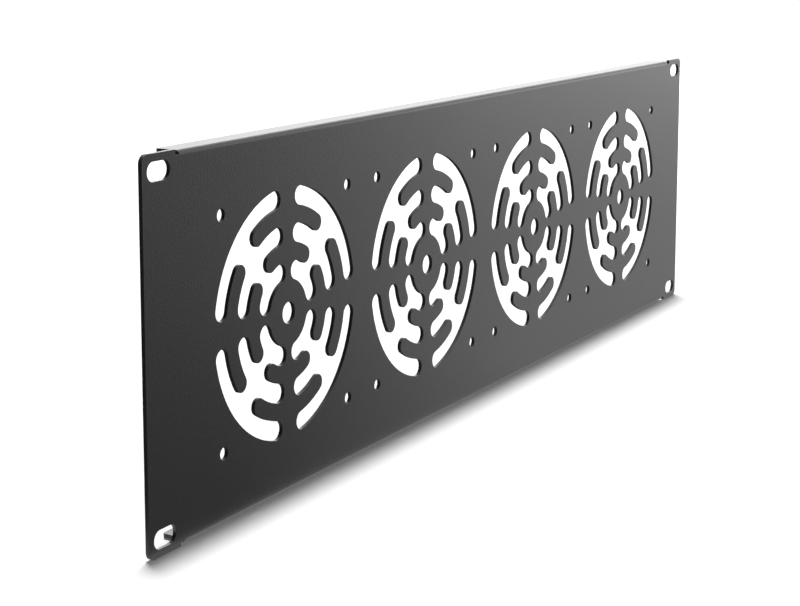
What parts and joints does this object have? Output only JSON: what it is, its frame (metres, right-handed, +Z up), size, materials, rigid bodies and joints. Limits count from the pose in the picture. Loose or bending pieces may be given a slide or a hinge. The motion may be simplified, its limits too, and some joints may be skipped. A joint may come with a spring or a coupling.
{
  "type": "rack fan panel",
  "caption": "Folded sheet-steel rack fan panel with slotted ears, ring-slot finger guards cut in its face and screw holes for axial fans behind each guard.",
  "frame": {"origin": "centre of the four rack slots, on the rear plane of the ears that seats against the rack rails", "axes": "+X along the panel's width, +Y out of the back into the rack, +Z up"},
  "size_m": [0.4826, 0.01, 0.1324],
  "materials": {
    "black_powder_coat": "satin, fine powder-coat texture"
  },
  "bodies": {
    "root": {"fan_panel": "black_powder_coat"}
  },
  "joints": []
}
